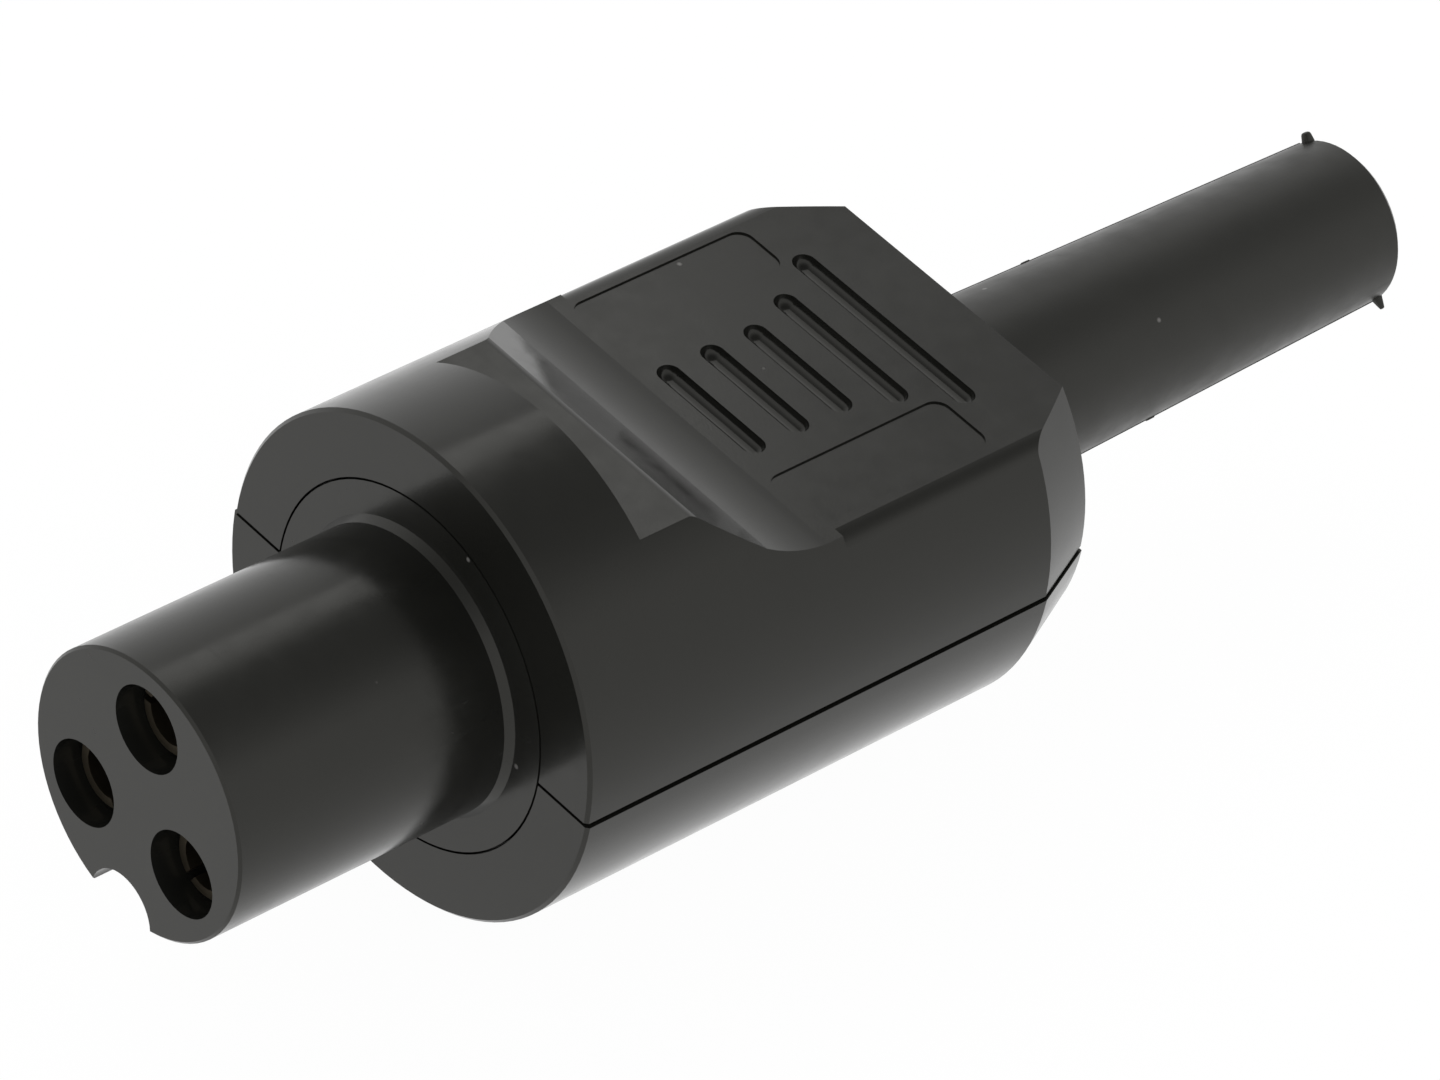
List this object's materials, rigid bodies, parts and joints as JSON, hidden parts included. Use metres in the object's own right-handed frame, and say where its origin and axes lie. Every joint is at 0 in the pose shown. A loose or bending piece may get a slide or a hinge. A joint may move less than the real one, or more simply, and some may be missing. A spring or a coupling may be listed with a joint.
{
  "type": "round three-pole cable socket",
  "caption": "Round rewirable cable socket: keyed cylindrical nose with contact holes, body of two half shells with a grip flat, flexible cable sleeve.",
  "frame": {"origin": "on the nose's axis, at the nose's foot in the plane of the body's front face", "axes": "+X along the axis from the nose to the cable sleeve, +Z from the axis to the grip flat"},
  "size_m": [0.067, 0.0222, 0.0221],
  "materials": {
    "shell": "satin black moulded plastic with a clear grazing sheen",
    "carrier": "fine matt black moulded plastic",
    "sleeve": "smooth black flexible plastic",
    "contact": "turned brass",
    "screw": "plated steel"
  },
  "bodies": {
    "root": {"upper_shell": "shell", "lower_shell": "shell", "contact_carrier": "carrier", "contact_retainer": "carrier", "earth_contact": "contact", "line_contact": "contact", "neutral_contact": "contact", "earth_terminal_screw": "screw", "line_terminal_screw": "screw", "neutral_terminal_screw": "screw", "cord_clamp": "carrier", "clamp_screw_left": "screw", "clamp_screw_right": "screw", "shell_screw_left": "screw", "shell_screw_right": "screw", "shell_insert_left": "contact", "shell_insert_right": "contact", "cable_sleeve": "sleeve"}
  },
  "joints": []
}
